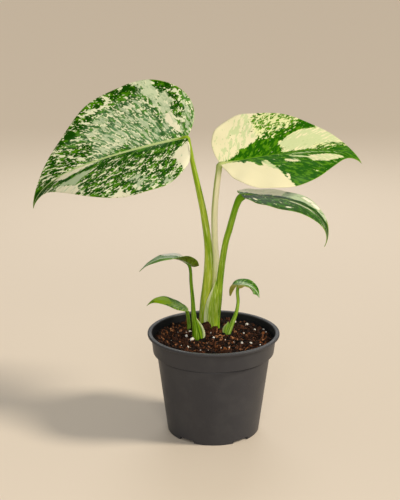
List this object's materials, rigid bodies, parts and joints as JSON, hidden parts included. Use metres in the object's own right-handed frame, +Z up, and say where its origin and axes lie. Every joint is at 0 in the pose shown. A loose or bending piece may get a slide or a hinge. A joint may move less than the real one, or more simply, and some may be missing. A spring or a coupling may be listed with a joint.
{
  "type": "potted swiss cheese plant",
  "caption": "Young variegated climbing aroid with heart-shaped marbled leaves on long stems, growing in soil in a round tapered nursery pot.",
  "frame": {"origin": "centre of the pot's base, on the surface that the pot stands on", "axes": "+Z up along the pot, -Y to the front of the plant, +X to the right of the front view"},
  "size_m": [0.3003, 0.1327, 0.3164],
  "materials": {
    "pot": "moulded matte plastic, dark warm grey, with a slight sheen",
    "soil": "moist peat and bark, dark brown, rough, with white grains",
    "green_stem": "smooth fleshy stem, green with paler streaks",
    "pale_stem": "smooth fleshy stem, pale cream green",
    "marbled_leaf": "waxy leaf, dark green marbled with cream",
    "cream_leaf": "waxy leaf, half cream and half green",
    "green_leaf": "waxy leaf, grey green with pale streaks",
    "young_leaf": "waxy young leaf, yellow green"
  },
  "bodies": {
    "root": {"pot": "pot", "soil": "soil", "stem_large_left": "green_stem", "leaf_large_left": "marbled_leaf", "stem_large_right": "pale_stem", "leaf_large_right": "cream_leaf", "stem_drooping": "green_stem", "leaf_drooping": "green_leaf", "stem_small_left": "green_stem", "leaf_small_left": "green_leaf", "stem_seedling_left": "green_stem", "leaf_seedling_left": "young_leaf", "stem_small_right": "green_stem", "leaf_small_right": "green_leaf"}
  },
  "joints": []
}
